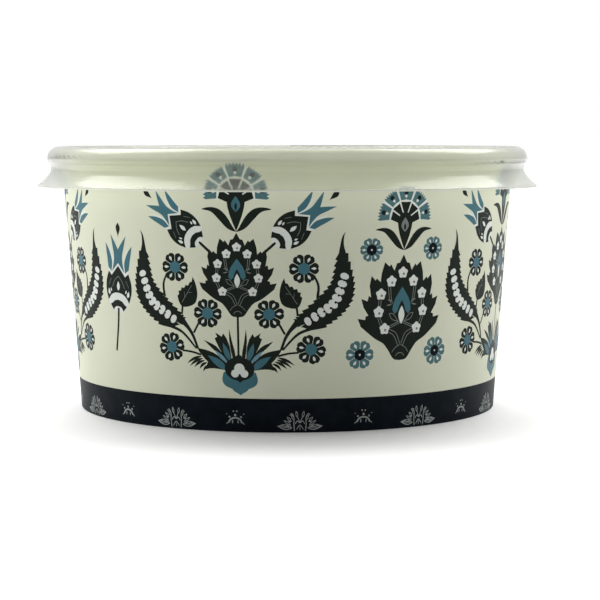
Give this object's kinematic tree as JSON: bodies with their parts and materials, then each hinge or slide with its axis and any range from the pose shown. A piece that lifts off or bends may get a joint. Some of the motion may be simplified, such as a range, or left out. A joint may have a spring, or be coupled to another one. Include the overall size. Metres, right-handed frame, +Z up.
{
  "type": "paper bowl with lid",
  "caption": "Round tapered paper food bowl with a rolled rim and a recessed base, closed by a plastic lid that clips over the rim and has a flared skirt.",
  "frame": {"origin": "middle of the foot, on the surface that the bowl stands on", "axes": "+Z up along the bowl's axis; -Y is the front; the side seam is at the back"},
  "size_m": [0.1598, 0.1598, 0.0831],
  "materials": {
    "printed_paper": "smooth coated paperboard, printed",
    "plain_paper": "smooth coated paperboard, unprinted",
    "lid_plastic": "milky translucent, satin"
  },
  "bodies": {
    "bowl": {"sidewall": "printed_paper", "base_disc": "plain_paper"},
    "lid": {"lid": "lid_plastic"}
  },
  "joints": [
    {"name": "lid_lift", "type": "slide", "parent": "bowl", "child": "lid", "axis": [0, 0, 1], "range_m": [0, 0.09]}
  ]
}
